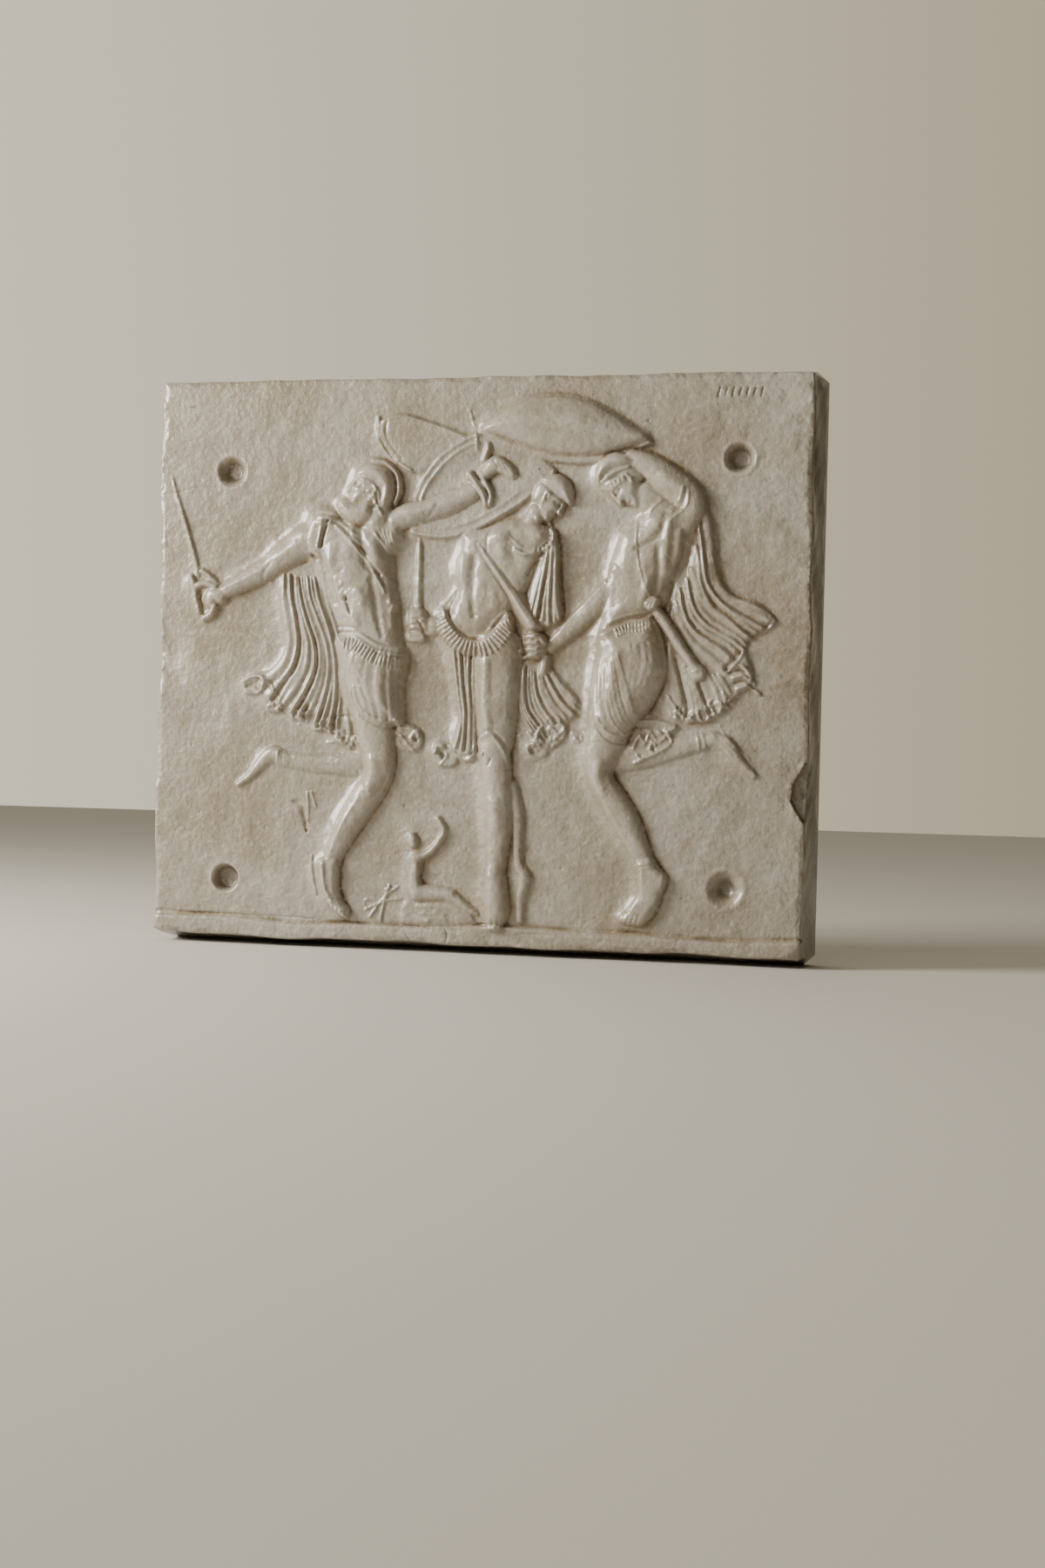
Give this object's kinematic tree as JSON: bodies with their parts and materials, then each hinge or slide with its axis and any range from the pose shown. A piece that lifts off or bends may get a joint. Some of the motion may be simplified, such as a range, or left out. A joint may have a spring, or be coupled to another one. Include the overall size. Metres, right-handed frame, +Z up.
{
  "type": "plaster relief panel",
  "caption": "Rectangular cast plaster relief panel: armed dancers with swords and shields around a seated child, on a thick slab with flared sides and a flat back.",
  "frame": {"origin": "centre of the flat back face, which lies against the wall", "axes": "+Y out of the flat back into the wall, so the relief faces -Y; +X to the right as seen from the front; +Z up"},
  "size_m": [0.512, 0.0598, 0.436],
  "materials": {
    "plaster": "sealed plaster, warm grey with a satin sheen and yellow-brown patina in the hollows"
  },
  "bodies": {
    "root": {"relief_panel": "plaster"}
  },
  "joints": []
}
